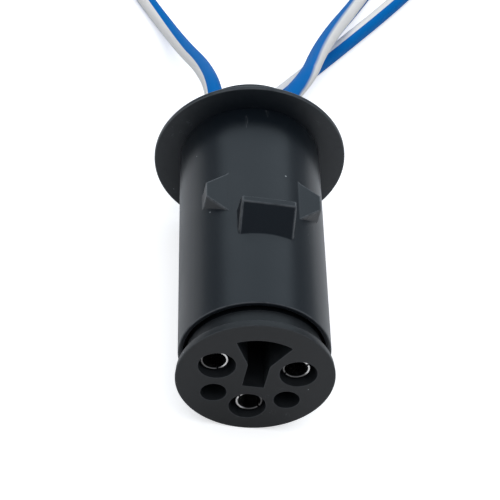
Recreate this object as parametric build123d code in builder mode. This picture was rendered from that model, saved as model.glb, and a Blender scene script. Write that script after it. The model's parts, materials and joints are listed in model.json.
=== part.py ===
from build123d import *
import math
import os

# Round three-way wire connector lying on its side, in millimetres, with +Z up.
# It rests on the rim of its face plate and the rim of its flange, so its axis climbs a little
# from the mating face, which looks along -Y, to the wire end. The latch lug is on top.

# Shell: round body, flange and rear boss, measured back from the mating face
body_radius = 10.0
shell_wall = 1.15
shell_front = 4.15
shell_edge = 0.25
flange_width = 3.7
flange_front = 40.6
flange_rim = 0.65
flange_root = 1.5
flange_fillet = 0.2
boss_wall = 0.95
boss_length = 3.2

# Latch lug on the shell
lug_width = 7.3
lug_foot = 16.35
lug_ramp = 3.4
lug_crest = 0.95
lug_height = 2.2
lug_round = 0.35

# Hexagonal flat pad, cut by a plane beside the round of the body
pad_inset = 1.25
pad_half_width = 7.85
pad_middle = 24.55
pad_side = 2.6
pad_slope = 37.0
pad_draft = 1.0
pad_depth = 3.2

# Face plate and barrel of the front insulator
face_overhang = 0.35
plate_inset = 0.35
plate_length = 2.8
flare_length = 1.1
flare_step = 0.1
face_edge = 0.12
fit_gap = 0.1
joint_plane = 15.0

# Key slot: a fan that runs into a straight slot
key_inset = 1.35
key_half_angle = 29.3
key_slot_width = 2.84
key_slot_end = 1.68
key_depth = 9.0

# Guide holes
guide_radius = 1.7
guide_inset = 3.92
guide_rise = 2.06
guide_depth = 7.0

# Contact places, seen from the mating side, set in from the barrel
side_inset = 3.45
side_rise = 1.7
lower_inset = 3.05

# Contact cavities, which run through the front insulator, and the collars' seats behind them
cavity_radius = 2.43
collar_gap = 0.1

# Socket contacts
mouth_recess = 0.85
socket_radius = 1.82
socket_wall = 0.34
socket_depth = 9.6
neck_start = 11.0
neck_taper = 0.4
neck_radius = 1.55
mouth_edge = 0.1
collar_radius = 2.75
collar_length = 1.0
slot_width = 0.35
slot_length = 7.0
crimp_wall = 0.6
crimp_length = 6.0
grip_start = 7.6
grip_length = 3.4
grip_wall = 0.3
strip_overlap = 0.5

# Wires and their cores
wire_radius = 1.35
core_radius = 0.85
core_start = 0.3
wire_start = 7.0
grip_clearance = 0.01
bare_length = 7.0
straight_inside = 2.0
straight_outside = 6.0
bend_share = 0.45

# Rear insulator, wire seals and cap
crimp_bore_gap = 0.2
seal_bore_length = 8.5
seal_bore_radius = 2.6
seal_gap = 0.02
seal_end_gap = 0.2
seal_rib_height = 0.2
seal_rib_count = 3
seal_rib_length = 1.1
seal_rib_crest = 0.5
cap_inset = 0.3
cap_plug = 2.3
cap_rim = 1.2
cap_edge = 0.3
wire_hole_gap = 0.2
latch_width = 3.0
latch_length = 1.0
latch_height = 0.8
latch_setback = 0.6
latch_gap = 0.1

# Key rib inside the shell, and the grooves that it runs in
rib_width = 2.0
rib_height = 0.6
rib_start = 5.5
rib_gap = 0.1

# Values that follow from the ones above
flange_radius = body_radius + flange_width
face_radius = body_radius + face_overhang
plate_radius = body_radius - plate_inset
bore_radius = body_radius - shell_wall
barrel_radius = bore_radius - fit_gap
boss_radius = bore_radius + boss_wall
cap_radius = boss_radius - cap_inset
key_radius = barrel_radius - key_inset
side_place = barrel_radius - side_inset
lower_drop = barrel_radius - lower_inset
guide_place = barrel_radius - guide_inset
guide_drop = lower_drop - guide_rise
tilt = math.atan2(flange_radius - face_radius, flange_front)
boss_end = flange_front + flange_root + boss_length
cap_end = boss_end + cap_rim
rear_face = boss_end - cap_plug
seal_start = rear_face - seal_bore_length
straight_from = cap_end - straight_inside
straight_to = cap_end + straight_outside
front_y = -face_radius * math.sin(tilt)
back_y = cap_end * math.cos(tilt) + cap_radius * math.sin(tilt)
face_y = -(front_y + back_y) / 2

face_center = Vector(0, face_y, face_radius * math.cos(tilt))
rearward = Vector(0, math.cos(tilt), math.sin(tilt))
upward = Vector(0, -math.sin(tilt), math.cos(tilt))
face_plane = Plane(origin=face_center, x_dir=(1, 0, 0), z_dir=-rearward)
section_plane = Plane(origin=face_center, x_dir=rearward, z_dir=(1, 0, 0))
main_axis = Axis(face_center, rearward)

wire_base = joint_plane + wire_start
contact_places = {
    "left": (-side_place, side_rise),
    "right": (side_place, side_rise),
    "lower": (0, -lower_drop),
}
seam_angles = {"left": 115, "right": 40, "lower": -30}


def behind(distance):
    """The plane across the connector, this far behind the mating face, looking out of the face."""
    return face_plane.offset(-distance)


def at_contact(name):
    """The section plane and the axis of one contact's place."""
    across, up = contact_places[name]
    origin = face_center + Vector(across, 0, 0) + upward * up
    return Plane(origin=origin, x_dir=rearward, z_dir=(1, 0, 0)), Axis(origin, rearward)


# Outer shell: body, flange and boss are one turned profile, round one straight bore
with BuildPart() as outer_shell:
    with BuildSketch(section_plane):
        with BuildLine():
            Polyline(
                (shell_front, bore_radius),
                (shell_front, body_radius),
                (flange_front, body_radius),
                (flange_front, flange_radius),
                (flange_front + flange_rim, flange_radius),
                (flange_front + flange_root, boss_radius),
                (boss_end, boss_radius),
                (boss_end, bore_radius),
                close=True,
            )
        make_face()
    revolve(axis=main_axis)
    circles = outer_shell.edges().filter_by(GeomType.CIRCLE)
    flange_rims = circles.filter_by(lambda edge: abs(edge.radius - flange_radius) < 0.01)
    body_ends = circles.filter_by(lambda edge: abs(edge.radius - body_radius) < 0.01).sort_by(Axis.Y)
    chamfer(flange_rims + body_ends[:1], shell_edge)
    fillet(body_ends[-1], flange_fillet)

    # Pad: a hexagon under its own plane, with drafted sides
    pad_plane = Plane(origin=face_center + upward * (body_radius - pad_inset), x_dir=(1, 0, 0), z_dir=upward)
    pad_point = pad_side / 2 + pad_half_width * math.tan(math.radians(pad_slope))
    with BuildSketch(pad_plane):
        with BuildLine():
            Polyline(
                (-pad_half_width, pad_middle - pad_side / 2),
                (0, pad_middle - pad_point),
                (pad_half_width, pad_middle - pad_side / 2),
                (pad_half_width, pad_middle + pad_side / 2),
                (0, pad_middle + pad_point),
                (-pad_half_width, pad_middle + pad_side / 2),
                close=True,
            )
        make_face()
    extrude(amount=-pad_depth, taper=-pad_draft)

    # Lug: its foot lies on the round of the body, and its crest is straight
    lug_top = body_radius + lug_height
    foot_side = math.sqrt(body_radius**2 - (lug_width / 2) ** 2)
    with BuildSketch(behind(lug_foot)):
        with BuildLine():
            Line((-lug_width / 2, bore_radius), (lug_width / 2, bore_radius))
            Line((lug_width / 2, bore_radius), (lug_width / 2, foot_side))
            ThreePointArc(
                (lug_width / 2, foot_side), (0, body_radius), (-lug_width / 2, foot_side)
            )
            Line((-lug_width / 2, foot_side), (-lug_width / 2, bore_radius))
        make_face()
    with BuildSketch(behind(lug_foot + lug_ramp)):
        with Locations((0, (bore_radius + lug_top) / 2)):
            Rectangle(lug_width, lug_top - bore_radius)
    loft(ruled=True)
    with BuildSketch(behind(lug_foot + lug_ramp)):
        with Locations((0, (bore_radius + lug_top) / 2)):
            Rectangle(lug_width, lug_top - bore_radius)
    extrude(amount=-lug_crest)
    crest = outer_shell.faces().filter_by(Plane(origin=(0, 0, 0), z_dir=upward)).sort_by(Axis.Z)[-1]
    fillet(crest.edges(), lug_round)

    # The bore runs clear through the pad and the lug
    with BuildSketch(behind(shell_front)):
        Circle(bore_radius)
    extrude(amount=-(boss_end - shell_front), mode=Mode.SUBTRACT)

    # Key rib along the top of the bore, which keeps both insulators from turning
    with BuildSketch(behind(rib_start)):
        with Locations((0, bore_radius - rib_height / 2 + shell_wall / 4)):
            Rectangle(rib_width, rib_height + shell_wall / 2)
    extrude(amount=-(rear_face - rib_start))

    # Two windows in the boss take the cap's latches
    with BuildSketch(behind(boss_end - latch_setback - latch_length - 2 * latch_gap)):
        Rectangle(2 * flange_radius, latch_width + 2 * latch_gap)
    extrude(amount=-(latch_length + 2 * latch_gap), mode=Mode.SUBTRACT)
outer_shell.part.label = "outer_shell"


def key_groove(distance):
    """The section of the groove for the shell's key rib, this far behind the mating face."""
    groove_floor = bore_radius - rib_height - rib_gap
    with BuildSketch(behind(distance)) as section:
        with Locations((0, (groove_floor + body_radius) / 2)):
            Rectangle(rib_width + 2 * rib_gap, body_radius - groove_floor)
    return section.sketch


# Front insulator: face plate with a flared rim, and the barrel that fills the shell's bore
socket_end = mouth_recess + socket_depth
with BuildPart() as contact_insulator:
    with BuildSketch(section_plane):
        with BuildLine():
            Polyline(
                (0, 0),
                (0, face_radius - face_edge),
                (face_edge, face_radius),
                (flare_length, plate_radius + flare_step),
                (plate_length, plate_radius),
                (plate_length, barrel_radius),
                (joint_plane, barrel_radius),
                (joint_plane, 0),
                close=True,
            )
        make_face()
    revolve(axis=main_axis)

    # Key slot
    fan_x = key_radius * math.sin(math.radians(key_half_angle))
    fan_y = key_radius * math.cos(math.radians(key_half_angle))
    with BuildSketch(face_plane):
        with BuildLine():
            Line((0, 0), (fan_x, fan_y))
            ThreePointArc((fan_x, fan_y), (0, key_radius), (-fan_x, fan_y))
            Line((-fan_x, fan_y), (0, 0))
        make_face()
        slot_top = key_radius / 2
        with Locations((0, (slot_top - key_slot_end) / 2)):
            Rectangle(key_slot_width, slot_top + key_slot_end)
    extrude(amount=-key_depth, mode=Mode.SUBTRACT)

    # Guide holes
    with BuildSketch(face_plane):
        with Locations((-guide_place, -guide_drop), (guide_place, -guide_drop)):
            Circle(guide_radius)
    extrude(amount=-guide_depth, mode=Mode.SUBTRACT)

    # Contact cavities
    with BuildSketch(face_plane):
        with Locations(*contact_places.values()):
            Circle(cavity_radius)
    extrude(amount=-joint_plane, mode=Mode.SUBTRACT)
    groove_start = rib_start - rib_gap
    extrude(key_groove(groove_start), amount=-(joint_plane - groove_start), mode=Mode.SUBTRACT)
contact_insulator.part.label = "contact_insulator"


# Rear insulator: seats for the contacts' collars in front, crimp bores, and seal bores behind
crimp_bore = core_radius + crimp_wall + crimp_bore_gap + grip_wall
with BuildPart() as rear_insulator:
    with BuildSketch(behind(joint_plane)):
        Circle(barrel_radius)
    extrude(amount=-(rear_face - joint_plane))
    with BuildSketch(behind(joint_plane)):
        with Locations(*contact_places.values()):
            Circle(crimp_bore)
    extrude(amount=-(rear_face - joint_plane), mode=Mode.SUBTRACT)
    with BuildSketch(behind(joint_plane)):
        with Locations(*contact_places.values()):
            Circle(collar_radius + collar_gap)
    extrude(amount=-collar_length, mode=Mode.SUBTRACT)
    with BuildSketch(behind(seal_start)):
        with Locations(*contact_places.values()):
            Circle(seal_bore_radius)
    extrude(amount=-(rear_face - seal_start), mode=Mode.SUBTRACT)
    extrude(key_groove(joint_plane), amount=-(rear_face - joint_plane), mode=Mode.SUBTRACT)
rear_insulator.part.label = "rear_insulator"


# Rear cap: a plug in the shell's bore, a rim on the boss, and two snap latches
with BuildPart() as rear_cap:
    with BuildSketch(behind(rear_face)):
        Circle(barrel_radius)
    extrude(amount=-(boss_end - rear_face))
    with BuildSketch(behind(boss_end)):
        Circle(cap_radius)
    extrude(amount=-cap_rim)
    circles = rear_cap.edges().filter_by(GeomType.CIRCLE)
    chamfer(circles.sort_by(Axis.Y)[-1], cap_edge)
    with BuildSketch(behind(boss_end - latch_setback - latch_length - latch_gap)):
        Rectangle(2 * (barrel_radius + latch_height), latch_width)
        Circle(barrel_radius - latch_height, mode=Mode.SUBTRACT)
    extrude(amount=-latch_length)
    with BuildSketch(behind(rear_face)):
        with Locations(*contact_places.values()):
            Circle(wire_radius + wire_hole_gap)
    extrude(amount=-(cap_end - rear_face), mode=Mode.SUBTRACT)
rear_cap.part.label = "rear_cap"


# Socket contacts: a rolled tube with a seam and a tine slot, a neck, a collar that the two
# insulators trap, a barrel crimped on the core, and an open grip round the insulation
collar_back = joint_plane + collar_length
crimp_radius = core_radius + crimp_wall
grip_radius = wire_radius + grip_clearance
contacts = {}
for name in contact_places:
    contact_plane, contact_axis = at_contact(name)
    crimp_end = joint_plane + crimp_length
    grip_from = joint_plane + grip_start
    with BuildPart() as contact:
        with BuildSketch(contact_plane):
            with BuildLine():
                Polyline(
                    (mouth_recess, socket_radius - socket_wall),
                    (mouth_recess, socket_radius),
                    (neck_start - neck_taper, socket_radius),
                    (neck_start, neck_radius),
                    (joint_plane, neck_radius),
                    (joint_plane, collar_radius),
                    (collar_back, collar_radius),
                    (collar_back, crimp_radius),
                    (crimp_end, crimp_radius),
                    (crimp_end, core_radius),
                    (joint_plane, core_radius),
                    (joint_plane, 0),
                    (socket_end, 0),
                    (socket_end, socket_radius - socket_wall),
                    close=True,
                )
            make_face()
        revolve(axis=contact_axis)
        mouth = contact.edges().filter_by(GeomType.CIRCLE).sort_by(Axis.Y)[:2]
        chamfer(mouth, mouth_edge)

        # The seam runs one way out of the axis and the tine slot the other way
        across, up = contact_places[name]
        with BuildSketch(behind(mouth_recess)):
            with Locations(Location((across, up, 0), (0, 0, 1), seam_angles[name])):
                Rectangle(2 * socket_radius + slot_width, slot_width)
        extrude(amount=-slot_length, mode=Mode.SUBTRACT)

        # Grip: a trough under the wire, open at the top, on a strip from the barrel
        with BuildSketch(behind(grip_from)):
            with Locations((across, up)):
                Circle(grip_radius + grip_wall)
                Circle(grip_radius, mode=Mode.SUBTRACT)
            with Locations((across, up + wire_radius)):
                Rectangle(2 * grip_radius, wire_radius, mode=Mode.SUBTRACT)
        extrude(amount=-grip_length)
        with BuildSketch(behind(crimp_end - strip_overlap)):
            with Locations((across, up - grip_radius - grip_wall / 2)):
                Rectangle(core_radius * 2, grip_wall)
        extrude(amount=-(grip_from - crimp_end + 2 * strip_overlap))
    contact.part.label = "contact_" + name
    contacts[name] = contact.part


# Wire seals: rubber sleeves with raised ribs, one to each wire
rib_pitch = (rear_face - seal_end_gap - seal_start) / seal_rib_count
seal_radius = seal_bore_radius - seal_gap - seal_rib_height
seals = {}
for name in contact_places:
    seal_plane, seal_axis = at_contact(name)
    with BuildPart() as seal:
        with BuildSketch(seal_plane):
            seal_end = rear_face - seal_end_gap
            with Locations(((seal_start + seal_end) / 2, (wire_radius + seal_gap + seal_radius) / 2)):
                Rectangle(seal_end - seal_start, seal_radius - wire_radius - seal_gap)
            for rib in range(seal_rib_count):
                middle = seal_start + (rib + 0.5) * rib_pitch
                with BuildLine():
                    Polyline(
                        (middle - seal_rib_length / 2, seal_radius),
                        (middle - seal_rib_crest / 2, seal_radius + seal_rib_height),
                        (middle + seal_rib_crest / 2, seal_radius + seal_rib_height),
                        (middle + seal_rib_length / 2, seal_radius),
                        close=True,
                    )
                make_face()
        revolve(axis=seal_axis)
    seal.part.label = "seal_" + name
    seals[name] = seal.part


# Wires: straight through their seals and the cap, then down to the surface in loose curves. The
# right wire passes over the lower one. Each route goes on from the end of the straight stretch.
wire_routes = {
    "left": [
        (-6.0, 41.36, 11.6),
        (-8.0, 54.36, 5.6),
        (-10.6, 66.66, 1.36),
        (-16.4, 78.56, 1.36),
        (-20.5, 92.36, 1.36),
        (-20.5, 108.86, 1.36),
        (-17.0, 125.80, 1.36),
        (-15.0, 143.30, 1.36),
        (-18.5, 160.60, 1.36),
    ],
    "right": [
        (9.9, 40.26, 13.56),
        (12.7, 52.30, 9.65),
        (17.6, 64.80, 6.10),
        (22.2, 79.46, 1.36),
        (29.0, 93.06, 1.36),
        (32.5, 107.86, 1.36),
        (31.5, 125.20, 1.36),
        (27.0, 142.20, 1.36),
        (26.5, 159.30, 1.36),
    ],
    "lower": [
        (6.0, 42.86, 6.0),
        (13.0, 57.36, 1.36),
        (20.8, 68.36, 1.36),
        (30.3, 82.86, 1.36),
        (38.0, 95.86, 1.36),
        (41.5, 111.36, 1.36),
        (39.8, 126.20, 1.36),
        (41.0, 141.00, 1.36),
        (45.0, 155.00, 1.36),
    ],
}
wires = {}
conductors = {}
for name, route in wire_routes.items():
    across, up = contact_places[name]
    start = at_contact(name)[1].position
    points = [start + rearward * straight_from, start + rearward * straight_to]
    points += [Vector(*point) for point in route]
    runs = [after - before for before, after in zip(points, points[1:])]
    radii = []
    for before, after in zip(runs, runs[1:]):
        half_turn = math.radians(before.get_angle(after)) / 2
        radii.append(bend_share * min(before.length, after.length) / math.tan(half_turn))

    with BuildPart() as wire:
        with BuildSketch(behind(wire_base)):
            with Locations((across, up)):
                Circle(wire_radius)
        extrude(amount=-(straight_from - wire_base))
        with BuildLine() as path:
            FilletPolyline(*points, radius=radii)
        with BuildSketch(Plane(origin=points[0], z_dir=rearward)):
            Circle(wire_radius)
        sweep(path=path.line)
    wire.part.label = "wire_" + name
    wires[name] = wire.part

    # The core shows in the crimp barrel and at the stripped far end
    with BuildPart() as conductor:
        with BuildSketch(behind(joint_plane + core_start)):
            with Locations((across, up)):
                Circle(core_radius)
        extrude(amount=-(wire_start - core_start))
        with BuildSketch(Plane(origin=points[-1], z_dir=runs[-1].normalized())):
            Circle(core_radius)
        extrude(amount=bare_length)
    conductor.part.label = "conductor_" + name
    conductors[name] = conductor.part

    tube_length = sum(edge.length for edge in path.line.edges())
    outside = tube_length - (cap_end - straight_from) + bare_length
    print(f"wire {name}: {outside:.1f} mm outside with its bare end, tightest {min(radii):.1f} mm")
    print("  radii in mm:", ", ".join(f"{radius:.0f}" for radius in radii))


os.makedirs("parts", exist_ok=True)
export_step(outer_shell.part, "parts/outer_shell.step")
export_step(contact_insulator.part, "parts/contact_insulator.step")
export_step(rear_insulator.part, "parts/rear_insulator.step")
export_step(rear_cap.part, "parts/rear_cap.step")
for name in contact_places:
    export_step(contacts[name], f"parts/contact_{name}.step")
    export_step(conductors[name], f"parts/conductor_{name}.step")
    export_step(seals[name], f"parts/seal_{name}.step")
    export_step(wires[name], f"parts/wire_{name}.step")
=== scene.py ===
import bmesh
import bpy
import json
import math
import numpy as np
from mathutils import Matrix, Vector
from mathutils.geometry import tessellate_polygon


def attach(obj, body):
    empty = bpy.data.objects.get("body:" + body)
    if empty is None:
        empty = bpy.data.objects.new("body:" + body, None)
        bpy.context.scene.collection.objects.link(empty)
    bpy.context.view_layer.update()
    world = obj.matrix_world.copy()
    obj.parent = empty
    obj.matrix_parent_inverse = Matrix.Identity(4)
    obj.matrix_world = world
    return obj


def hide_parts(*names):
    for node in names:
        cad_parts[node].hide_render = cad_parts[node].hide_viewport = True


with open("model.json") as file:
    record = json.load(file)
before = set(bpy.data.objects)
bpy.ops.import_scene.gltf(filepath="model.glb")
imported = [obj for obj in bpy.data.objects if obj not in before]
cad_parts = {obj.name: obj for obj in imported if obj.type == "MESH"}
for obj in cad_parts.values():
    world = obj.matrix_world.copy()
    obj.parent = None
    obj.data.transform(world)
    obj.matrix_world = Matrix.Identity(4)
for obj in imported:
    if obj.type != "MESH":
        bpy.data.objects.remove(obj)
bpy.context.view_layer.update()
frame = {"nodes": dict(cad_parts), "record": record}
mounts = {mount["name"]: mount for mount in frame["record"]["mounts"]}

# Socket contacts: one for each wire, rolled from thin brass sheet and plated with tin. Two spring
# tines make the socket, a collar traps the contact between the two insulators, and the tail is
# crimped on the core and round the insulation. They sit a little loose, so the mouths lean.
rearward = -np.array(mounts["mating_face"]["axis"])
across = np.array((1.0, 0.0, 0.0))
upward = np.array((0.0, -rearward[2], rearward[1]))
mating_point_height = 0.0088
face_center = np.array(mounts["mating_face"]["pos_m"]) - mating_point_height * upward
contact_names = ("left", "right", "lower")
mount_depth = 0.001
mouth_recess = 0.00085
socket_radius = 0.00182
socket_wall = 0.00034
socket_end = 0.01045
tine_end = 0.00785
tine_gap = 0.00035
shoulder_start = 0.0106
shoulder_end = 0.0110
neck_radius = 0.00155
joint_plane = 0.015
collar_radius = 0.00275
collar_back = 0.016
core_radius = 0.00085
crimp_radius = 0.00145
crimp_end = 0.021
grip_from = 0.0226
grip_end = 0.026
grip_inner = 0.00136
grip_wall = 0.0003
grip_outer = grip_inner + grip_wall
grip_open = math.radians(60)
strip_overlap = 0.0005
strip_half = math.radians(32)
lip_round = 0.00014
fine_round = 0.0001
step_round = 0.0002
shoulder_round = 0.0003
merge_distance = 1e-7
sharp_angle = math.radians(35)
seam_clock = {"left": -25.0, "right": 50.0, "lower": 120.0}
# Where each contact's painted highlight sits, in degrees from the top towards +X
glint_clock = {"left": 72.0, "right": 48.0, "lower": 262.0}
mouth_lean = {"left": (-0.00033, 0.0), "right": (-0.00026, 0.00004), "lower": (0.00028, 0.0)}


def contact_line(name, distance):
    """The point on one contact's axis, this far behind the mating face."""
    mouth = np.array(mounts["contact_bore_" + name]["pos_m"])
    return mouth + (distance - mount_depth) * rearward


def rounded_line(corners, closed=True, steps=5):
    """A polyline of (x, y, radius) corners, which are rounded. Each corner gives way to a quadratic
    curve (1-s)^2 * before + 2s(1-s) * corner + s^2 * after, from a radius before it to a radius
    after it, or to under half of a shorter side."""
    places, radii = np.split(np.array(corners, float), [2], axis=1)
    share = np.linspace(0, 1, steps)[:, None]
    points = []
    for index, (corner, radius) in enumerate(zip(places, radii[:, 0])):
        at_end = not closed and index in (0, len(places) - 1)
        if at_end or radius == 0:
            points.append(corner[None])
            continue
        sides = [places[index - 1] - corner, places[(index + 1) % len(places)] - corner]
        lengths = [np.linalg.norm(side) for side in sides]
        reach = min(radius, 0.49 * lengths[0], 0.49 * lengths[1])
        before, after = (corner + side / length * reach for side, length in zip(sides, lengths))
        curve = (1 - share) ** 2 * before + 2 * share * (1 - share) * corner + share**2 * after
        points.append(curve)
    return np.concatenate(points)


def grid_faces(rows, columns, closed_rows, closed_columns):
    """The quads of a grid of rows times columns points, joined round in the closed directions."""
    row, column = np.meshgrid(
        np.arange(rows if closed_rows else rows - 1),
        np.arange(columns if closed_columns else columns - 1),
        indexing="ij",
    )
    below, beside = (row + 1) % rows, (column + 1) % columns
    around = ((row, column), (row, beside), (below, beside), (below, column))
    return np.stack([down * columns + along for down, along in around], axis=-1).reshape(-1, 4)


def turned_points(origin, distances, radii, angles):
    """Points of a turned surface: origin + a * rearward + r * (sin t * across + cos t * upward),
    for the distance a behind the origin, the radius r and the angle t from the top."""
    out = np.sin(angles)[..., None] * across + np.cos(angles)[..., None] * upward
    return origin + distances[..., None] * rearward + radii[..., None] * out


def turned_part(origin, profile, first=0.0, last=2 * math.pi, columns=96):
    """The points and faces of a closed profile of (distance, radius) points, turned from the first
    angle to the last, with the profile itself as a face at each end of a part turn."""
    whole = last - first > 2 * math.pi - 1e-6
    angles = np.linspace(first, last, columns, endpoint=not whole)
    shape = (len(profile), columns)
    points = turned_points(
        origin,
        np.broadcast_to(profile[:, :1], shape),
        np.broadcast_to(profile[:, 1:], shape),
        np.broadcast_to(angles, shape),
    )
    faces = grid_faces(*shape, True, whole).tolist()
    if not whole:
        start = np.arange(len(profile)) * columns
        faces += [start.tolist(), (start + columns - 1)[::-1].tolist()]
    return points.reshape(-1, 3), faces


def mark_worn_and_lit_edges(mesh):
    """Writes how worn each point is, as a point attribute that also sets the painted highlight
    along
    edges: 0 on flat and hollow stretches, and up to 1 on a tight outward bend. It grows with the
    largest angle between the two faces of one of the point's outward edges, from the first to the
    full bend, in degrees."""
    first_bend, full_bend = 6, 20
    edge_of = np.empty(len(mesh.loops), int)
    mesh.loops.foreach_get("edge_index", edge_of)
    corners = np.empty(len(mesh.polygons), int)
    mesh.polygons.foreach_get("loop_total", corners)
    normals, centers = np.empty(len(corners) * 3), np.empty(len(corners) * 3)
    mesh.polygons.foreach_get("normal", normals)
    mesh.polygons.foreach_get("center", centers)
    normals, centers = normals.reshape(-1, 3), centers.reshape(-1, 3)
    ends = np.empty(len(mesh.edges) * 2, int)
    mesh.edges.foreach_get("vertices", ends)
    count = np.bincount(edge_of, minlength=len(mesh.edges))
    start = np.cumsum(count) - count
    paired = count == 2
    face_of = np.repeat(np.arange(len(corners)), corners)[np.argsort(edge_of, kind="stable")]
    one, other = face_of[start[paired]], face_of[start[paired] + 1]
    bend = np.degrees(np.arccos(np.clip((normals[one] * normals[other]).sum(axis=1), -1, 1)))
    outward = ((centers[other] - centers[one]) * normals[one]).sum(axis=1) < 0
    amount = np.clip((bend - first_bend) / (full_bend - first_bend), 0, 1) * outward
    wear_and_highlight = np.zeros(len(mesh.vertices))
    for end in ends.reshape(-1, 2)[paired].T:
        np.maximum.at(wear_and_highlight, end, amount)
    layer = mesh.attributes.get("wear_and_highlight") or mesh.attributes.new("wear_and_highlight", "FLOAT", "POINT")
    layer.data.foreach_set("value", wear_and_highlight)


def add_object(name, data):
    """A new object, linked to the scene."""
    added = bpy.data.objects.new(name, data)
    bpy.context.scene.collection.objects.link(added)
    return added


def make_piece(name, parts, material, replaced):
    """One piece from (points, faces) parts, its doubles merged and its faces turned outwards."""
    points, faces, count = [], [], 0
    for part_points, part_faces in parts:
        points.append(part_points)
        faces += [[corner + count for corner in face] for face in part_faces]
        count += len(part_points)
    mesh = bpy.data.meshes.new(name)
    mesh.from_pydata(np.concatenate(points).tolist(), [], faces)
    work = bmesh.new()
    work.from_mesh(mesh)
    bmesh.ops.remove_doubles(work, verts=work.verts, dist=merge_distance)
    bmesh.ops.recalc_face_normals(work, faces=work.faces)
    work.to_mesh(mesh)
    work.free()
    mesh.polygons.foreach_set("use_smooth", [True] * len(mesh.polygons))
    mesh.set_sharp_from_angle(angle=sharp_angle)
    mark_worn_and_lit_edges(mesh)
    mesh.materials.append(material)
    piece = add_object(name, mesh)
    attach(piece, "root")
    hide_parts(replaced)
    return piece


def add_node(tree, kind, inputs=(), **settings):
    """A new shader node with these settings and inputs, linked where an input is a socket."""
    node = tree.nodes.new("ShaderNode" + kind)
    for key, value in settings.items():
        setattr(node, key, value)
    for key, value in dict(inputs).items():
        if isinstance(value, bpy.types.NodeSocket):
            tree.links.new(value, node.inputs[key])
        else:
            node.inputs[key].default_value = value
    return node


def add_math(tree, operation, *values):
    """The result of a new math node, for values or sockets."""
    return add_node(tree, "Math", dict(enumerate(values)), operation=operation).outputs[0]


def add_noise(tree, place, scale, detail):
    """The value of a new noise texture."""
    noise = add_node(tree, "TexNoise", {"Vector": place, "Scale": scale, "Detail": detail})
    return noise.outputs["Fac"]


def mix_colors(tree, factor, first, second):
    """The mix of two colours, each one a socket or its red, green and blue."""
    ends = [end if isinstance(end, bpy.types.NodeSocket) else (*end, 1) for end in (first, second)]
    mix = add_node(tree, "Mix", {"Factor": factor, 6: ends[0], 7: ends[1]}, data_type="RGBA")
    return mix.outputs[2]


def add_ramp(tree, factor, stops):
    """The colour of a new ramp with two or more stops, each a position and its colour."""
    ramp = add_node(tree, "ValToRGB", {"Fac": factor})
    elements = ramp.color_ramp.elements
    for index, (position, color) in enumerate(stops):
        element = elements[index] if index < 2 else elements.new(position)
        element.position = position
        element.color = (*color, 1)
    return ramp.outputs["Color"]


def new_group(name, inputs, outputs):
    """An empty node group with named float inputs and their first values, and named outputs. With
    it come the sockets inside it that give its inputs and take its outputs."""
    group = bpy.data.node_groups.new(name, "ShaderNodeTree")
    for label, value in inputs.items():
        socket = group.interface.new_socket(label, in_out="INPUT", socket_type="NodeSocketFloat")
        socket.default_value = value
    for label, kind in outputs.items():
        group.interface.new_socket(label, in_out="OUTPUT", socket_type="NodeSocket" + kind)
    given, taken = group.nodes.new("NodeGroupInput"), group.nodes.new("NodeGroupOutput")
    return group, given.outputs, taken.inputs


# Fine grain: soft noise at two scales, for bump and for uneven gloss
grain, grain_in, grain_out = new_group(
    "fine grain",
    {"Scale": 2500.0, "Depth": 0.3, "Height": 0.00002},
    {"Normal": "Vector", "Unevenness": "Float"},
)
grain_place = add_node(grain, "TexCoord").outputs["Object"]
grain_bump = add_node(
    grain,
    "Bump",
    {
        "Strength": grain_in["Depth"],
        "Distance": grain_in["Height"],
        "Height": add_noise(grain, grain_place, grain_in["Scale"], 3.0),
    },
)
grain.links.new(grain_bump.outputs["Normal"], grain_out["Normal"])
grain.links.new(add_noise(grain, grain_place, 180.0, 4.0), grain_out["Unevenness"])


def shader_of(material):
    """The material's own shader."""
    return material.node_tree.nodes["Principled BSDF"]


def new_material(name, constants):
    """A material with these values on its shader's sockets."""
    material = bpy.data.materials.new(name)
    material.use_nodes = True
    for label, value in constants.items():
        shader_of(material).inputs[label].default_value = value
    return material


def add_grain(material, scale, depth, roughness):
    """Gives a material the fine grain's bump and an uneven roughness within its range, and returns
    the unevenness."""
    tree = material.node_tree
    group = add_node(tree, "Group", {"Scale": scale, "Depth": depth}, node_tree=grain)
    unevenness = group.outputs["Unevenness"]
    low, high = roughness
    gloss = add_node(tree, "MapRange", {"Value": unevenness, "To Min": low, "To Max": high})
    tree.links.new(gloss.outputs["Result"], shader_of(material).inputs["Roughness"])
    tree.links.new(group.outputs["Normal"], shader_of(material).inputs["Normal"])
    return unevenness


def two_colors(material, factor, first, second, low=0.3, high=0.7):
    """Mixes a material's base colour from two, by a mask between low and high."""
    tree = material.node_tree
    mask = add_node(tree, "MapRange", {"Value": factor, "From Min": low, "From Max": high})
    color = mix_colors(tree, mask.outputs["Result"], first, second)
    tree.links.new(color, shader_of(material).inputs["Base Color"])


# The plating is pale on one side of each mouth and dull elsewhere: a painted highlight, set where
# each mouth's rim catches a bright reflection
dull_tin = (0.17, 0.165, 0.16)
highlight_tin = (0.9, 0.88, 0.85)
patchiness = 0.3
tin = new_material("tin plate", {"Roughness": 0.25, "Metallic": 1.0})
unevenness = add_grain(tin, scale=6000.0, depth=0.15, roughness=(0.16, 0.4))
painted_glint = add_node(tin.node_tree, "Attribute", attribute_name="painted_glint").outputs["Fac"]
brightness = add_math(tin.node_tree, "MULTIPLY_ADD", unevenness, patchiness, painted_glint)
two_colors(tin, brightness, dull_tin, highlight_tin, low=0.72, high=0.92)

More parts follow.
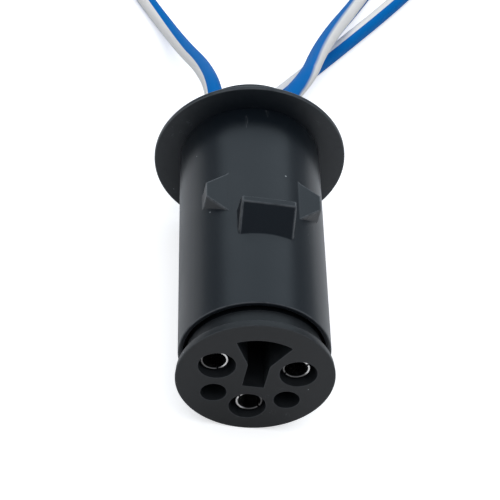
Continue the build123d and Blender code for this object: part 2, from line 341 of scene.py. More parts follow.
socket_bore = socket_radius - socket_wall
tine_profile = rounded_line(
    (
        (mouth_recess, socket_bore, lip_round),
        (mouth_recess, socket_radius, lip_round),
        (tine_end, socket_radius, 0),
        (tine_end, socket_bore, 0),
    )
)
tail_profile = rounded_line(
    (
        (tine_end, socket_bore, 0),
        (tine_end, socket_radius, 0),
        (shoulder_start, socket_radius, shoulder_round),
        (shoulder_end, neck_radius, shoulder_round),
        (joint_plane, neck_radius, step_round),
        (joint_plane, collar_radius, step_round),
        (collar_back, collar_radius, step_round),
        (collar_back, crimp_radius, step_round),
        (crimp_end, crimp_radius, step_round),
        (crimp_end, core_radius, fine_round),
        (joint_plane, core_radius, 0),
        (joint_plane, 0, 0),
        (socket_end, 0, 0),
        (socket_end, socket_bore, 0),
    )
)
grip_profile = rounded_line(
    (
        (grip_from, grip_inner, fine_round),
        (grip_from, grip_outer, fine_round),
        (grip_end, grip_outer, fine_round),
        (grip_end, grip_inner, fine_round),
    )
)
strip_profile = np.array(
    (
        (crimp_end - strip_overlap, grip_inner),
        (crimp_end - strip_overlap, grip_outer),
        (grip_from + strip_overlap, grip_outer),
        (grip_from + strip_overlap, grip_inner),
    )
)
gap = math.asin(tine_gap / 2 / socket_radius)
for name in contact_names:
    seam = math.radians(seam_clock[name])
    contact_base = contact_line(name, 0.0)
    parts = [
        turned_part(contact_base, tine_profile, seam + gap, seam + math.pi - gap, 48),
        turned_part(contact_base, tine_profile, seam + math.pi + gap, seam + 2 * math.pi - gap, 48),
        turned_part(contact_base, tail_profile),
        turned_part(contact_base, grip_profile, grip_open, 2 * math.pi - grip_open, 48),
        turned_part(contact_base, strip_profile, math.pi - strip_half, math.pi + strip_half, 12),
    ]
    lean = mouth_lean[name][0] * across + mouth_lean[name][1] * upward
    for points, _ in parts:
        behind_face = (points - contact_base) @ rearward
        share = np.clip((joint_plane - behind_face) / (joint_plane - mouth_recess), 0, 1)
        points += share[:, None] * lean
    contact = make_piece("socket_contact_" + name, parts, tin, "contact_" + name)
    places = np.empty(len(contact.data.vertices) * 3)
    contact.data.vertices.foreach_get("co", places)
    places = places.reshape(-1, 3) - contact_base
    # Painted highlight: a mask that is 1 on the contact's side towards its highlight angle and 0
    # opposite it
    turn_from_glint = np.arctan2(places @ across, places @ upward) - math.radians(glint_clock[name])
    layer = contact.data.attributes.new("painted_glint", "FLOAT", "POINT")
    layer.data.foreach_set("value", 0.5 + 0.5 * np.cos(turn_from_glint))

# Cores: nineteen twisted copper strands in each wire, which show in the crimp barrel at the front
# and at the far end, where the insulation is stripped off.
strand_radius = 0.00016
strand_rings = ((1, 0.0), (6, 0.00034), (12, 0.00067))
strand_steps = 20
strand_sides = 10
lay_length = 0.016
core_front = 0.0153
wire_start = 0.022
bare_length = 0.007
bare_splay = 0.12


def carried_frames(path, first_side):
    """The tangent of a path at each point, and a side direction that is carried along it without
    twist: each side is the one before it with its part along the new tangent taken away."""
    tangents = np.gradient(path, axis=0)
    tangents /= np.linalg.norm(tangents, axis=1)[:, None]
    sides = np.empty_like(path)
    side = np.array(first_side, float)
    for index, tangent in enumerate(tangents):
        side = side - tangent * side.dot(tangent)
        side /= np.linalg.norm(side)
        sides[index] = side
    return tangents, sides


def tube_part(path, first_side, radius, sides):
    """A closed tube: point (s, a) is path(s) + radius * (side(s) * cos a + other(s) * sin a),
    where other is the tangent crossed with the side. Its two ends are flat faces."""
    tangents, side = carried_frames(path, first_side)
    other = np.cross(tangents, side)
    angle = np.linspace(0, 2 * math.pi, sides, endpoint=False)
    ring = side[:, None] * np.cos(angle)[:, None] + other[:, None] * np.sin(angle)[:, None]
    points = (path[:, None] + radius * ring).reshape(-1, 3)
    faces = grid_faces(len(path), sides, False, True).tolist()
    faces += [list(range(sides))[::-1], list(range(len(points) - sides, len(points)))]
    return points, faces


def strand_parts(start, direction, side, length, splay):
    """The strands of a bundle: strand k of a ring of radius p runs start + s * direction + p(s) *
    (cos(turn) * side + sin(turn) * other), with turn = 2 pi * (k / count + s / lay length) and
    p(s) = p * (1 + splay * (s / length)^2)."""
    along = np.linspace(0, length, strand_steps)
    other = np.cross(direction, side)
    parts = []
    for count, ring_radius in strand_rings:
        for strand in range(count):
            turn = 2 * math.pi * (strand / count + along / lay_length)
            out = ring_radius * (1 + splay * (along / length) ** 2)
            path = start + along[:, None] * direction
            path += (out * np.cos(turn))[:, None] * side
            path += (out * np.sin(turn))[:, None] * other
            parts.append(tube_part(path, side, strand_radius, strand_sides))
    return parts


copper = new_material("bare copper", {"Roughness": 0.3, "Metallic": 1.0})
unevenness = add_grain(copper, scale=4000.0, depth=0.2, roughness=(0.2, 0.42))
two_colors(copper, unevenness, (0.83, 0.44, 0.27), (0.55, 0.25, 0.14), low=0.4, high=0.7)

# Wires: stranded copper in smooth insulation, blue with a broad white stripe. They run straight
# through their seals and the cap, then down to the table in loose curves.
wire_radius = 0.00135
straight_from = 0.0445
straight_to = 0.0525
cap_end = 0.0465
tube_sides = 48
lying = 0.00136
routes = {
    "left": (
        (-0.0060, 0.04136, 0.01160),
        (-0.0080, 0.05436, 0.00560),
        (-0.0106, 0.06666, lying),
        (-0.0164, 0.07856, lying),
        (-0.0205, 0.09236, lying),
        (-0.0205, 0.10886, lying),
        (-0.0170, 0.12580, lying),
        (-0.0150, 0.14330, lying),
        (-0.0185, 0.16060, lying),
    ),
    "right": (
        (0.0101, 0.04026, 0.01356),
        (0.0132, 0.05230, 0.00965),
        (0.0174, 0.06480, 0.00610),
        (0.0229, 0.07946, lying),
        (0.0294, 0.09306, lying),
        (0.0325, 0.10786, lying),
        (0.0315, 0.12520, lying),
        (0.0270, 0.14220, lying),
        (0.0265, 0.15930, lying),
    ),
    "lower": (
        (0.0060, 0.04286, 0.00600),
        (0.0130, 0.05736, lying),
        (0.0208, 0.06836, lying),
        (0.0308, 0.08286, lying),
        (0.0388, 0.09586, lying),
        (0.0415, 0.11136, lying),
        (0.0398, 0.12620, lying),
        (0.0410, 0.14100, lying),
        (0.0450, 0.15500, lying),
    ),
}
# Where the sharp edge of each wire's stripe lies, as turns from the top towards +X, at lengths
# along the wire: the stripe winds slowly round
stripe_edge = {
    "left": ((0.033, -0.15), (0.052, -0.15), (0.070, -0.10), (0.165, 0.18)),
    "right": ((0.036, 0.43), (0.045, 0.32), (0.072, 0.27), (0.089, 0.22), (0.165, 0.02)),
    "lower": ((0.048, 0.04), (0.094, 0.03), (0.165, 0.22)),
}
# The stripe across the wire, in turns: white sets in softly from start to full, and stops at the
# sharp edge, which is at the end
stripe_start = 0.345
stripe_full = 0.41
stripe_end = 0.63
stripe_sharp = 0.006
blue = (0.0, 0.155, 0.5)
white = (0.88, 0.85, 0.81)
edge_white = (0.92, 0.88, 0.84)
soil = (0.09, 0.1, 0.12)


def route_line(name):
    """The smooth line of one wire, as points along a quadratic spline with the route's points as
    its control points."""
    points = [contact_line(name, at) for at in (wire_start, straight_from, straight_to)]
    points += [np.array(point) for point in routes[name]]
    curve = bpy.data.curves.new("route", "CURVE")
    curve.dimensions = "3D"
    curve.resolution_u = 24
    spline = curve.splines.new("NURBS")
    spline.points.add(len(points) - 1)
    for control, point in zip(spline.points, points):
        control.co = (*point, 1)
    spline.order_u = 3
    spline.use_endpoint_u = True
    holder = add_object("route", curve)
    bpy.context.view_layer.update()
    line = bpy.data.meshes.new_from_object(holder)
    found = np.empty(len(line.vertices) * 3)
    line.vertices.foreach_get("co", found)
    bpy.data.objects.remove(holder)
    bpy.data.meshes.remove(line)
    bpy.data.curves.remove(curve)
    return found.reshape(-1, 3)


# Dust: sparse pale specks and short fine scratches, as two masks
dust, dust_in, dust_out = new_group(
    "dust and scratches",
    {"Speck Scale": 700.0, "Speck Size": 0.1, "Share": 0.06, "Scratch Share": 0.5},
    {"Specks": "Float", "Scratches": "Float"},
)
dust_place = add_node(dust, "TexCoord").outputs["Object"]
speck_cells = add_node(dust, "TexVoronoi", {"Vector": dust_place, "Scale": dust_in["Speck Scale"]})
speck_pick = add_node(dust, "SeparateColor", {"Color": speck_cells.outputs["Color"]}).outputs
speck_size = add_math(dust, "MULTIPLY", dust_in["Speck Size"], speck_pick["Green"])
speck_near = add_math(dust, "LESS_THAN", speck_cells.outputs["Distance"], speck_size)
speck_rare = add_math(dust, "LESS_THAN", speck_pick["Red"], dust_in["Share"])
scratch_stretch = (1.0, 0.06, 1.0)
scratch_level = 0.64
scratch_width = 0.006
scratch_place = add_node(dust, "Mapping", {"Vector": dust_place, "Scale": scratch_stretch})
scratch_lines = add_noise(dust, scratch_place.outputs["Vector"], 900.0, 2.0)
scratch_band = add_math(dust, "COMPARE", scratch_lines, scratch_level, scratch_width)
scratch_patches = add_noise(dust, dust_place, 120.0, 1.0)
scratch_rare = add_math(dust, "GREATER_THAN", scratch_patches, dust_in["Scratch Share"])
dust.links.new(add_math(dust, "MULTIPLY", speck_near, speck_rare), dust_out["Specks"])
dust.links.new(add_math(dust, "MULTIPLY", scratch_band, scratch_rare), dust_out["Scratches"])

insulation = new_material(
    "blue and white insulation", {"Roughness": 0.5, "Specular IOR Level": 0.05}
)
add_grain(insulation, scale=1800.0, depth=0.25, roughness=(0.42, 0.58))
tree = insulation.node_tree
stripe_place = add_node(tree, "UVMap", uv_map="around_along").outputs["UV"]
stripe_turn = add_node(tree, "SeparateXYZ", {"Vector": stripe_place}).outputs["X"]
stripe = add_ramp(
    tree,
    stripe_turn,
    (
        (stripe_start, blue),
        (stripe_full, white),
        (stripe_end - stripe_sharp, edge_white),
        (stripe_end, blue),
    ),
)
insulation_dust = add_node(
    tree, "Group", {"Speck Scale": 450.0, "Speck Size": 0.16, "Share": 0.03}, node_tree=dust
)
soiled = mix_colors(tree, insulation_dust.outputs["Specks"], stripe, soil)
tree.links.new(soiled, shader_of(insulation).inputs["Base Color"])

for name in contact_names:
    path = route_line(name)
    points, faces = tube_part(path, upward, wire_radius, tube_sides)
    mesh = bpy.data.meshes.new("wire_" + name + "_insulation")
    mesh.from_pydata(points.tolist(), [], faces)
    quads = (len(path) - 1) * tube_sides
    along = np.concatenate(([0.0], np.cumsum(np.linalg.norm(np.diff(path, axis=0), axis=1))))
    row, column = np.divmod(np.arange(quads), tube_sides)
    turn = np.stack((column, column + 1, column + 1, column), axis=-1) / tube_sides
    length = np.stack((along[row], along[row], along[row + 1], along[row + 1]), axis=-1)
    turn += stripe_end - np.interp(length, *np.transpose(stripe_edge[name]))
    turn -= np.floor(turn.min(axis=1, keepdims=True))
    uv = np.zeros((len(mesh.loops), 2))
    uv[: quads * 4, 0] = turn.reshape(-1)
    uv[: quads * 4, 1] = length.reshape(-1)
    mesh.uv_layers.new(name="around_along")
    mesh.uv_layers[0].data.foreach_set("uv", uv.reshape(-1))
    mesh.polygons.foreach_set("use_smooth", [True] * quads + [False, False])
    mesh.materials.append(insulation)
    wire = add_object(mesh.name, mesh)
    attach(wire, "root")
    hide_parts("wire_" + name)

    onward = path[-1] - path[-2]
    onward /= np.linalg.norm(onward)
    level = np.cross(onward, (0.0, 0.0, 1.0))
    level /= np.linalg.norm(level)
    core_start, core_length = contact_line(name, core_front), wire_start - core_front
    strands = strand_parts(core_start, rearward, across, core_length, 0.0)
    strands += strand_parts(path[-1], onward, level, bare_length, bare_splay)
    core = make_piece("copper_strands_" + name, strands, copper, "conductor_" + name)

# Seals: soft silicone sleeves with three raised ribs, one pushed over each wire and into the rear
# insulator's bore, where they keep water out.
seal_start = 0.0345
seal_end = 0.0428
seal_bore = 0.00137
seal_radius = 0.00238
seal_rib_radius = 0.00258
seal_ribs = 3
seal_rib_pitch = (seal_end - seal_start) / seal_ribs
seal_rib_half = 0.00055
seal_round = 0.0003
silicone = new_material("seal silicone", {"Roughness": 0.55, "Subsurface Weight": 0.1})
unevenness = add_grain(silicone, scale=1200.0, depth=0.2, roughness=(0.5, 0.65))
two_colors(silicone, unevenness, (0.05, 0.09, 0.25), (0.08, 0.14, 0.36))
seal_outline = [(seal_start, seal_bore), (seal_start, seal_radius)]
for rib in range(seal_ribs):
    middle = seal_start + (rib + 0.5) * seal_rib_pitch
    seal_outline += [
        (middle - seal_rib_half, seal_radius),
        (middle - seal_rib_half / 2, seal_rib_radius),
        (middle + seal_rib_half / 2, seal_rib_radius),
        (middle + seal_rib_half, seal_radius),
    ]
seal_outline += [(seal_end, seal_radius), (seal_end, seal_bore)]
seal_profile = rounded_line([(*corner, seal_round) for corner in seal_outline])
for name in contact_names:
    part = turned_part(contact_line(name, 0.0), seal_profile, columns=64)
    make_piece("wire_seal_" + name, [part], silicone, "seal_" + name)

# Insulators: two discs of black moulded nylon, keyed to the shell. The front one has a thin face
# plate on a narrower throat, with a key slot, two guide holes and the contact cavities. The rear
# one backs the contacts.
face_radius = 0.01035
plate_radius = 0.01022
plate_length = 0.00105
throat_radius = 0.0091
throat_end = 0.0037
barrel_radius = 0.00875
bore_radius = 0.00885
cavity_radius = 0.00243
guide_radius = 0.0017
guide_depth = 0.007
guide_side = 0.00483
guide_drop = 0.00364
key_radius = 0.0074
key_half_angle = math.radians(29.3)
key_slot_half = 0.00142
key_slot_end = 0.00168
key_depth = 0.009
hole_round = 0.00007
key_corner_round = 0.00012
key_waist_round = 0.0003
key_foot_round = 0.00016
rim_round = 0.00016
face_ring = 0.0003
back_ring = 0.0004
rib_half = 0.001
rib_height = 0.0006
rib_start = 0.0055
rib_slant = 0.0001
rib_play = 0.0001


def behind_face(side, up, distance):
    """Points at a place across and up on the mating face, and at a distance behind it."""
    return face_center + side * across + up * upward + distance * rearward


def circle_line(center, radius, count=72):
    """A circle as (across, up) points."""
    angle = np.linspace(0, 2 * math.pi, count, endpoint=False)
    return np.array(center) + radius * np.stack((np.cos(angle), np.sin(angle)), axis=-1)


def outward_of(line):
    """The unit direction out of a closed line that runs anticlockwise, at each of its points."""
    tangent = np.roll(line, -1, axis=0) - np.roll(line, 1, axis=0)
    tangent /= np.linalg.norm(tangent, axis=1)[:, None]
    return np.stack((tangent[:, 1], -tangent[:, 0]), axis=-1)


def hole_wall(line, rows):
    """A hole's wall: row i is its line moved out by rows[i, 1], at rows[i, 0] behind the face."""
    flat = line + rows[:, None, 1:] * outward_of(line)
    points = behind_face(flat[..., :1], flat[..., 1:], rows[:, None, :1])
    return points.reshape(-1, 3), grid_faces(len(rows), len(line), False, True).tolist()


def flat_face(loops):
    """The triangles of a flat face between its outer loop and the loops of its holes."""
    triangles = tessellate_polygon([[Vector(point) for point in loop] for loop in loops])
    return np.concatenate(loops), [list(triangle) for triangle in triangles]


def bored_parts(outside, angles, relief, front, back, blind_holes, through_holes):
    """A turned block with holes. The outside is turned, with relief(distance, radius, angle) giving
    its true radius. Its two flat faces are filled between their edge and the holes' rounded mouths,
    and each hole is a wall with a flat floor, or runs through."""
    distance, angle = np.broadcast_arrays(outside[:, :1], angles)
    radius = relief(distance, np.broadcast_to(outside[:, 1:], distance.shape), angle)
    points = turned_points(face_center, distance, radius, angle)
    parts = [(points.reshape(-1, 3), grid_faces(*distance.shape, False, True).tolist())]
    front_loops, back_loops = [points[0]], [points[-1]]
    mouth = np.linspace(0, math.pi / 2, 5)
    lead = np.stack((hole_round * (1 - np.cos(mouth)), hole_round * (1 - np.sin(mouth))), axis=-1)
    lead = np.concatenate(([(0.0, 2 * hole_round)], lead))
    for line, depth in blind_holes:
        rows = np.concatenate((lead + (front, 0), [(depth, 0.0)]))
        wall_points, wall_faces = hole_wall(line, rows)
        wall_faces.append(list(range(len(wall_points) - len(line), len(wall_points))))
        parts.append((wall_points, wall_faces))
        front_loops.append(wall_points[: len(line)])
    for line in through_holes:
        rows = np.concatenate((lead + (front, 0), lead[::-1] * (-1, 1) + (back, 0)))
        wall_points, wall_faces = hole_wall(line, rows)
        parts.append((wall_points, wall_faces))
        front_loops.append(wall_points[: len(line)])
        back_loops.append(wall_points[-len(line):])
    return parts + [flat_face(front_loops), flat_face(back_loops)]


# Edge wear and painted highlight: the worn-edge attribute, broken up by noise, as a mask. It greys
# # worn edges and also paints the light line that an edge catches
edge_wear_and_highlight, edge_mark_in, edge_mark_out = new_group(
    "edge wear", {"Scale": 900.0, "Amount": 1.0}, {"Worn And Lit": "Float"}
)
edge_mark = add_node(edge_wear_and_highlight, "Attribute", attribute_name="wear_and_highlight").outputs["Fac"]
edge_place = add_node(edge_wear_and_highlight, "TexCoord").outputs["Object"]
edge_noise = add_noise(edge_wear_and_highlight, edge_place, edge_mark_in["Scale"], 2.0)
edge_break = add_node(
    edge_wear_and_highlight, "MapRange", {"Value": edge_noise, "From Min": 0.05, "From Max": 0.5}
).outputs["Result"]
edge_amount = add_math(edge_wear_and_highlight, "MULTIPLY", edge_mark, edge_mark_in["Amount"])
edge_wear_and_highlight.links.new(add_math(edge_wear_and_highlight, "MULTIPLY", edge_amount, edge_break), edge_mark_out["Worn And Lit"])


def black_plastic(name, color, roughness, scratches, wear_and_highlight, specular=0.5):
    """Moulded black plastic: a fine spark grain, uneven gloss, edges worn a little grey, which also
    paints the light lines that edges catch as a painted highlight, pale specks of dust and
    scratches."""
    worn_and_lit_color = (0.15, 0.16, 0.17)
    dust_color = (0.3, 0.32, 0.33)
    scratch_strength = 0.12
    material = new_material(name, {"Roughness": roughness[0], "Specular IOR Level": specular})
    add_grain(material, scale=3200.0, depth=0.22, roughness=roughness)
    tree = material.node_tree
    amounts = {"Speck Size": 0.1, "Share": 0.08, "Scratch Share": scratches}
    marks = add_node(tree, "Group", amounts, node_tree=dust).outputs
    dusty = add_math(tree, "MULTIPLY_ADD", marks["Scratches"], scratch_strength, marks["Specks"])
    # Edges: a lighter grey that is partly real wear and partly painted highlight along the edges
    worn_and_lit = add_node(tree, "Group", {"Amount": wear_and_highlight}, node_tree=edge_wear_and_highlight).outputs["Worn And Lit"]
    edged = mix_colors(tree, worn_and_lit, color, worn_and_lit_color)
    marked = mix_colors(tree, dusty, edged, dust_color)
    tree.links.new(marked, shader_of(material).inputs["Base Color"])
    return material


insulator_black = black_plastic(
    "insulator nylon",
    color=(0.0035, 0.0045, 0.0055),
    roughness=(0.34, 0.44),
    scratches=0.66,
    wear_and_highlight=0.25,
    specular=0.42,
)
contact_places = {}
for name in contact_names:
    offset = contact_line(name, 0.0) - face_center
    contact_places[name] = (offset @ across, offset @ upward)
fan_corner = key_radius * np.array((math.sin(key_half_angle), math.cos(key_half_angle)))
waist = key_slot_half / math.tan(key_half_angle)
fan_arc = np.linspace(key_half_angle, -key_half_angle, 25)[1:-1]
key_right = rounded_line(
    (
        (0.0, -key_slot_end, 0),
        (key_slot_half, -key_slot_end, key_foot_round),
        (key_slot_half, waist, key_waist_round),
        (*fan_corner, key_corner_round),
        (0.0, key_radius, 0),
    ),
    closed=False,
)[1:-1]
key_top = key_radius * np.stack((np.sin(fan_arc), np.cos(fan_arc)), axis=-1)
key_line = np.concatenate((key_right, key_top, key_right[::-1] * (-1, 1)))
plate_outside = rounded_line(
    (
        (0.0, face_radius - 2 * face_ring, 0),
        (0.0, face_radius - face_ring, 0),
        (0.0, face_radius, rim_round),
        (plate_length, plate_radius, fine_round),
        (plate_length, throat_radius, step_round),
        (throat_end, throat_radius, fine_round),
        (throat_end, barrel_radius, fine_round),
        (joint_plane, barrel_radius, step_round),
        (joint_plane, barrel_radius - 2 * back_ring, 0),
        (joint_plane, barrel_radius - 3 * back_ring, 0),
    ),
    closed=False,
)

# The last of these rows starts the groove, and the two before it keep the barrel round there
key_rows = (rib_start - 0.0005, rib_start - 0.0002, rib_start - rib_slant)
split = np.searchsorted(plate_outside[:, 0], key_rows[0])
plate_outside = np.insert(plate_outside, split, [(row, barrel_radius) for row in key_rows], axis=0)


def key_groove(distance, radius, angle):
    """The radius of the front insulator, less in the groove that the shell's key rib runs in."""
    in_groove = (np.abs(radius * np.sin(angle)) < rib_half + rib_play) & (np.cos(angle) > 0)
    in_groove &= distance >= key_rows[2]
    return np.where(in_groove, np.minimum(radius, bore_radius - rib_height - rib_play), radius)


round_angles = np.linspace(0, 2 * math.pi, 288, endpoint=False)
front_parts = bored_parts(
    plate_outside,
    round_angles,
    key_groove,
    0.0,
    joint_plane,
    [
        (key_line, key_depth),
        (circle_line((guide_side, -guide_drop), guide_radius), guide_depth),
        (circle_line((-guide_side, -guide_drop), guide_radius), guide_depth),
    ],
    [circle_line(place, cavity_radius) for place in contact_places.values()],
)
make_piece("face_insulator", front_parts, insulator_black, "contact_insulator")
backing = frame["nodes"]["rear_insulator"]
backing.data.materials.clear()
backing.data.materials.append(insulator_black)

# Shell: black moulded plastic, turned in form, with a flange that seats on the lamp or panel, a
# boss behind it, a latch lug with a ramp on top and a flat hexagonal pad that stands out at both
# of its sides. Inside runs the key rib for the front insulator.
body_radius = 0.0100
shell_front = 0.00415
lead_in_radius = 0.0094
lead_in_depth = 0.0011
shell_rim_round = 0.00022
flange_radius = 0.0137
flange_front = 0.0406
flange_rim = 0.00065
flange_root = 0.0015
boss_radius = 0.0098
boss_end = 0.0453
rear_face = 0.043
lug_half = 0.00375
lug_foot = 0.01635
lug_ramp = 0.0034
lug_crest = 0.00095
lug_back_run = 0.00026
lug_back_slope = 9
lug_back = lug_foot + lug_ramp + lug_crest + lug_back_run
lug_top = 0.0122
lug_side_blend = 0.0011
lug_back_blend = 0.0009
pad_plane = 0.00875
pad_half = 0.00785
pad_middle = 0.02455
pad_side_half = 0.0013
pad_slope = math.radians(37)
pad_draft = math.radians(1)
pad_blend = 0.00018
crossing_blend = 0.00012


def smooth_min(first, second, blend):
    """The lesser of two values, with the corner where they cross rounded over the blend."""
    share = np.clip(0.5 + 0.5 * (second - first) / blend, 0, 1)
    return second + (first - second) * share - blend * share * (1 - share)


def smooth_max(first, second, blend):
    """The greater of two values, rounded in the same way."""
    return -smooth_min(-first, -second, blend)


def lug_and_pad(distance, angle):
    """The shell's outer radius, for a ray at an angle from the top. The lug is the least of its
    side planes, its ramp, which climbs from the round of the body to the straight crest, its flat
    top and its steep back. The ramp's foot depends on the radius, so it is found in three rounds.
    The pad is the lesser of its flat plane and its hexagon's walls. The surface is the greatest
    of body, lug and pad, and each crossing is a little rounded."""
    side = np.maximum(np.abs(np.sin(angle)), 1e-4)
    up = np.maximum(np.cos(angle), 0.2)
    climb = np.clip((distance - lug_foot) / lug_ramp, 0, 1)
    radius = np.full(np.broadcast(distance, angle).shape, body_radius)
    for _ in range(3):
        foot = np.sqrt(body_radius**2 - np.minimum(radius * side, lug_half) ** 2)
        radius = ((1 - climb) * foot + climb * lug_top) / up
    radius = smooth_min(radius, lug_half / side, lug_side_blend)
    steep = body_radius + lug_back_slope * (lug_back - distance)
    lug = np.where(climb > 0, smooth_min(radius, steep, lug_back_blend), 0)
    reach = np.maximum(np.abs(distance - pad_middle) - pad_side_half, 0) / math.tan(pad_slope)
    lean = math.tan(pad_draft)
    wall = (pad_half - reach + pad_plane * lean) / (side + up * lean)
    pad = smooth_min(pad_plane / up, wall, pad_blend)
    near_top = np.cos(angle) > 0.3
    radius = smooth_max(body_radius, np.where(near_top, lug, 0), crossing_blend)
    return smooth_max(radius, np.where(near_top, pad, 0), crossing_blend)


# Rows and columns lie close together over the lug and pad, and closest behind the lug's crest
close_rows = 0.00013
closest_rows = 0.00004
body_rows = np.concatenate(
    (
        np.linspace(0.0045, 0.0158, 6),
        np.arange(0.01605, 0.02055, close_rows),
        np.arange(0.02055, 0.0211, closest_rows),
        np.arange(0.02115, 0.0334, close_rows),
        np.linspace(0.0340, 0.0402, 5),
    )
)
close_columns = np.radians(np.arange(-62, 62, 0.45))
wide_columns = np.radians(np.arange(62.5, 297.5, 2.5))
shell_angles = np.concatenate((close_columns, wide_columns))
front_edge = rounded_line(
    (
        (shell_front + lead_in_depth, bore_radius, 0),
        (shell_front, lead_in_radius, fine_round),
        (shell_front, body_radius, shell_rim_round),
        (body_rows[0], body_radius, 0),
    ),
    closed=False,
)
rear_edges = rounded_line(
    (
        (body_rows[-1], body_radius, 0),
        (flange_front, body_radius, 0),
        (flange_front, flange_radius, step_round),
        (flange_front + flange_rim, flange_radius, step_round),
        (flange_front + flange_root, boss_radius, 2 * step_round),
        (boss_end, boss_radius, step_round),
        (boss_end, bore_radius, fine_round),
        (rear_face + rib_slant, bore_radius, 0),
    ),
    closed=False,
)
outer_rows = np.stack((body_rows, np.full(len(body_rows), body_radius)), axis=-1)
bore_rows = np.array([(row, bore_radius) for row in (rear_face, rib_start, rib_start - rib_slant)])
shell_profile = np.concatenate((front_edge[:-1], outer_rows, rear_edges[1:], bore_rows))
on_body = np.zeros(len(shell_profile), bool)
on_body[len(front_edge) - 1: len(front_edge) - 1 + len(outer_rows)] = True
on_rib = np.zeros(len(shell_profile), bool)
on_rib[-3:-1] = True
distance, angle = np.broadcast_arrays(shell_profile[:, :1], shell_angles)
radius = np.repeat(shell_profile[:, 1:], len(shell_angles), axis=1)
radius[on_body] = lug_and_pad(distance[on_body], angle[on_body])
under_rib = (np.abs(bore_radius * np.sin(angle)) < rib_half) & (np.cos(angle) > 0) & on_rib[:, None]
radius[under_rib] = bore_radius - rib_height
shell_points = turned_points(face_center, distance, radius, angle).reshape(-1, 3)
shell_faces = grid_faces(*distance.shape, True, True).tolist()
shell_black = black_plastic(
    "shell plastic",
    color=(0.005, 0.0075, 0.0105),
    roughness=(0.27, 0.37),
    scratches=0.6,
    wear_and_highlight=0.46,
)
shell_parts = [(shell_points, shell_faces)]
shell = make_piece("round_shell", shell_parts, shell_black, "outer_shell")

# The two windows in the boss are cut by a long bar, for the cap's latches
window_front = 0.0435
window_back = 0.0447
window_half = 0.0016
bar_half = 0.012
bar_signs = np.array([(x, u, a) for x in (-1, 1) for u in (-1, 1) for a in (0, 1)])
bar_points = behind_face(
    bar_signs[:, :1] * bar_half,
    bar_signs[:, 1:2] * window_half,
    np.where(bar_signs[:, 2:], window_back, window_front),
)
bar_faces = [(0, 1, 3, 2), (4, 6, 7, 5), (0, 4, 5, 1), (2, 3, 7, 6), (0, 2, 6, 4), (1, 5, 7, 3)]
bar_mesh = bpy.data.meshes.new("window bar")
bar_mesh.from_pydata(bar_points.tolist(), [], bar_faces)
bar_shape = bmesh.new()
bar_shape.from_mesh(bar_mesh)
bmesh.ops.recalc_face_normals(bar_shape, faces=bar_shape.faces)
bar_shape.to_mesh(bar_mesh)
bar_shape.free()
bar = add_object("window bar", bar_mesh)
windows = shell.modifiers.new("windows", "BOOLEAN")
windows.operation = "DIFFERENCE"
windows.solver = "EXACT"
windows.object = bar
bpy.context.view_layer.update()
cut_shell = shell.evaluated_get(bpy.context.evaluated_depsgraph_get())
cut_mesh = bpy.data.meshes.new_from_object(cut_shell)
shell.modifiers.clear()
shell.data = cut_mesh
mark_worn_and_lit_edges(cut_mesh)
bpy.data.objects.remove(bar)

# Cap: a black moulded plug that closes the boss behind the seals. Its two latches snap into the
# boss's windows, and each wire comes out through a hole of its own.
cap_radius = 0.0095
wire_hole_radius = 0.00155
latch_half = 0.0015
latch_height = 0.0008
latch_front = 0.0436
latch_back = 0.0446
latch_slant = 0.00004
cap_ring = 0.0003
cap_outside = rounded_line(
    (
        (rear_face, barrel_radius - 2 * back_ring, 0),
        (rear_face, barrel_radius - back_ring, 0),
        (rear_face, barrel_radius, step_round),
        (boss_end, barrel_radius, fine_round),
        (boss_end, cap_radius, fine_round),
        (cap_end, cap_radius, cap_ring),
        (cap_end, cap_radius - 2 * cap_ring, 0),
        (cap_end, cap_radius - 3 * cap_ring, 0),
    ),
    closed=False,
)
latch_rows = (latch_front - latch_slant, latch_front, latch_back, latch_back + latch_slant)
split = np.searchsorted(cap_outside[:, 0], latch_rows[0])
cap_outside = np.insert(cap_outside, split, [(row, barrel_radius) for row in latch_rows], axis=0)


def latches(distance, radius, angle):
    """The radius of the cap, more at the two latches, which face left and right."""
    on_latch = np.abs(radius * np.cos(angle)) < latch_half
    on_latch &= (distance > latch_rows[0] + 1e-6) & (distance < latch_rows[3] - 1e-6)
    return np.where(on_latch, radius + latch_height, radius)


cap_parts = bored_parts(
    cap_outside,
    round_angles,
    latches,
    rear_face,
    cap_end,
    [],
    [circle_line(place, wire_hole_radius) for place in contact_places.values()],
)
make_piece("wire_cap", cap_parts, insulator_black, "rear_cap")

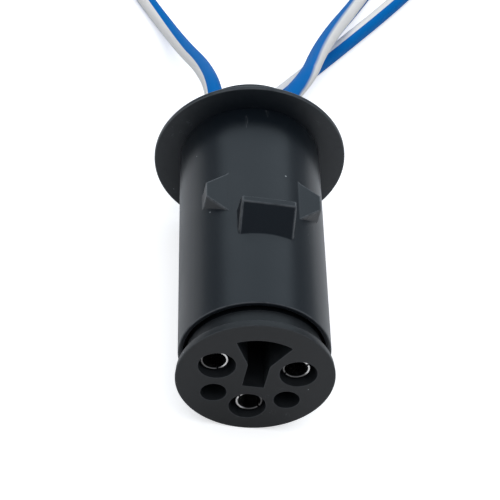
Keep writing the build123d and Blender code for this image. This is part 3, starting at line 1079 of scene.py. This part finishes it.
# Table, light and camera: a plain white table with a soft lamp high behind the connector, seen from
# above the mating end. The table shows white to the camera and in gloss, and keeps its shadow.
glow_to_camera = 0.62
glow_in_gloss = 0.03
bpy.ops.mesh.primitive_plane_add(size=6)
table = bpy.context.active_object
table.name = "table"
table_finish = new_material(
    "white table",
    {
        "Roughness": 0.9,
        "Base Color": (0.8, 0.8, 0.8, 1),
        "Specular IOR Level": 0.0,
        "Emission Color": (1, 1, 1, 1),
    },
)
tree = table_finish.node_tree
rays = add_node(tree, "LightPath").outputs
camera_glow = add_math(tree, "MULTIPLY", rays["Is Camera Ray"], glow_to_camera)
glow = add_math(tree, "MULTIPLY_ADD", rays["Is Glossy Ray"], glow_in_gloss, camera_glow)
tree.links.new(glow, shader_of(table_finish).inputs["Emission Strength"])
table.data.materials.append(table_finish)

world = bpy.data.worlds.new("studio")
bpy.context.scene.world = world
world.use_nodes = True
tree = world.node_tree
room_below = (0.28, 0.32, 0.36)
room_above = (0.13, 0.15, 0.18)
toward = add_node(tree, "TexCoord").outputs["Generated"]
height = add_node(tree, "SeparateXYZ", {"Vector": toward}).outputs["Z"]
room = add_ramp(tree, height, ((0.0, room_below), (0.9, room_above)))
room_rays = add_node(tree, "LightPath").outputs
seen = mix_colors(tree, room_rays["Is Camera Ray"], room, (1, 1, 1))
tree.links.new(seen, tree.nodes["Background"].inputs["Color"])

for lamp_name, place, wide, deep, energy, color, in_gloss in (
    ("window", (-0.035, 1.0, 0.95), 2.03, 1.0, 5.5, (0.86, 1.0, 1.1), True),
    ("ceiling", (0.0, -0.2, 1.2), 1.6, 1.6, 13.0, (1.0, 1.0, 1.02), False),
):
    lamp_data = bpy.data.lights.new(lamp_name, "AREA")
    lamp_data.shape = "RECTANGLE"
    lamp_data.size = wide
    lamp_data.size_y = deep
    lamp_data.energy = energy
    lamp_data.color = color
    lamp = add_object(lamp_name, lamp_data)
    lamp.location = place
    lamp.rotation_euler = (-Vector(place)).to_track_quat("-Z", "Y").to_euler()
    lamp.visible_glossy = in_gloss

camera_place = Vector((-0.03573, -0.18003, 0.16899))
camera_right = Vector((0.9824, -0.0334, 0.1839)).normalized()
camera_up = Vector((-0.1152, 0.6663, 0.7368)).normalized()
camera_back = camera_right.cross(camera_up).normalized()
camera_data = bpy.data.cameras.new("camera")
camera_data.sensor_width = 36
camera_data.lens = 126.55
camera = add_object("camera", camera_data)
turn = Matrix((camera_right, camera_back.cross(camera_right), camera_back)).transposed()
camera.matrix_world = Matrix.Translation(camera_place) @ turn.to_4x4()
bpy.context.scene.camera = camera
bpy.context.scene.view_settings.view_transform = "Standard"
